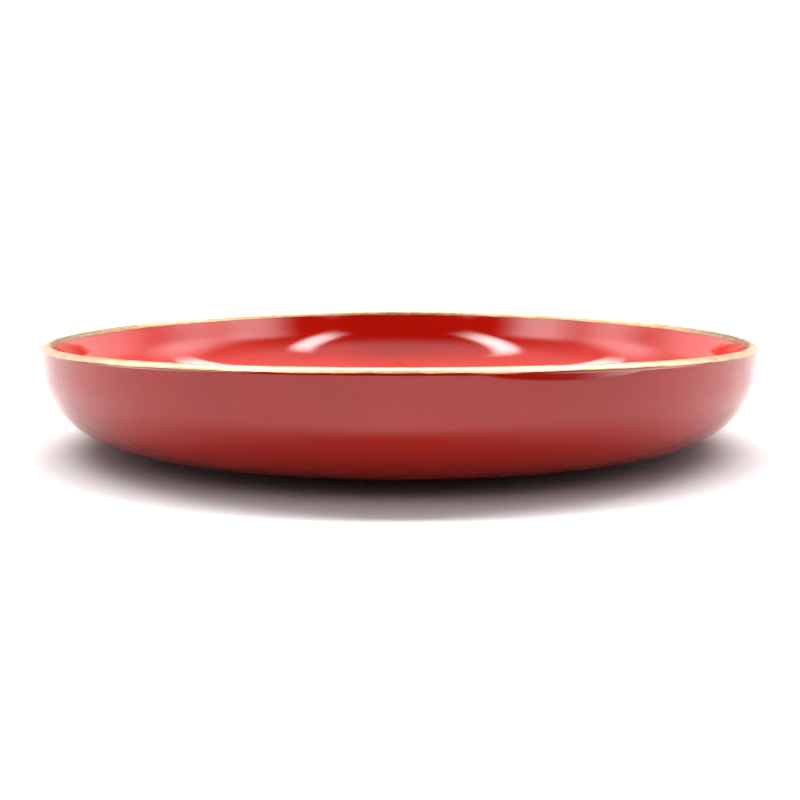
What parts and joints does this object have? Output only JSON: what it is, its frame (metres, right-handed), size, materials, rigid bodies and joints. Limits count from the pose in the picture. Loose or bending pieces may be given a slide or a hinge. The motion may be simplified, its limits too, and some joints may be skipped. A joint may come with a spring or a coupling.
{
  "type": "shallow bowl",
  "caption": "Shallow round turned wooden bowl with near-upright walls and a low foot ring, red gloss coats inside and out, and a thin gold band round the lip.",
  "frame": {"origin": "centre of the circle that the foot ring stands on, on the table's surface", "axes": "+Z is the axis the bowl was turned about, up through its mouth; X is the way across in which the lip dips 2.2 mm at both sides, and Y is square to it"},
  "size_m": [0.2396, 0.2396, 0.0366],
  "materials": {
    "wood": "fine turned, bare, matt",
    "ground": "rubbed-down earth-red priming coat, matt",
    "lacquer": "clear varnish over vermilion paint, high gloss",
    "gold": "pale gold paint under varnish, satin, slightly uneven edge"
  },
  "bodies": {
    "root": {"turned_wood_body": "wood", "outside_ground": "ground", "outside_lacquer": "lacquer", "inside_ground": "ground", "inside_lacquer": "lacquer", "well_ground": "ground", "well_lacquer": "lacquer", "gilded_lip_band": "gold"}
  },
  "joints": []
}
